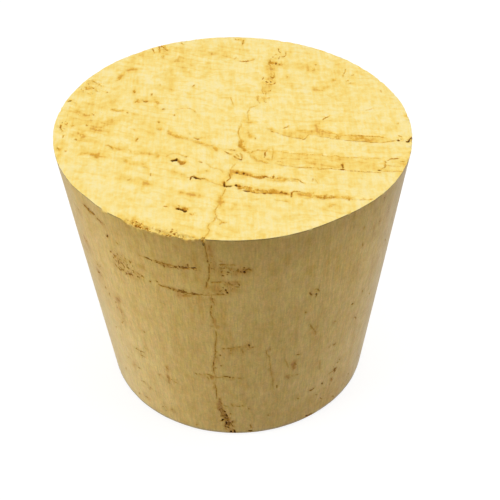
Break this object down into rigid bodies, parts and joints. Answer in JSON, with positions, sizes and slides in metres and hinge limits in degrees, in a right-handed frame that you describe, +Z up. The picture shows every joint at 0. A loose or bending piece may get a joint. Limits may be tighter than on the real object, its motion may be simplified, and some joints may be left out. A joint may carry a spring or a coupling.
{
  "type": "cork stopper",
  "caption": "Stout tapered stopper of natural bark cork, pale straw, with a winding pore fissure across the wide end and down the front, and short ring cracks.",
  "frame": {"origin": "centre of the narrow end's face, which the stopper stands on", "axes": "+Z up the taper's axis towards the wide end, -Y at the front, where the long fissure runs down the side; the wide end falls by 0.9 degrees towards +X"},
  "size_m": [0.045, 0.045, 0.0384],
  "materials": {
    "cork": "raw cut bark cork, matt, pale straw with ochre and brown pores"
  },
  "bodies": {
    "root": {"cork_stopper": "cork"}
  },
  "joints": []
}
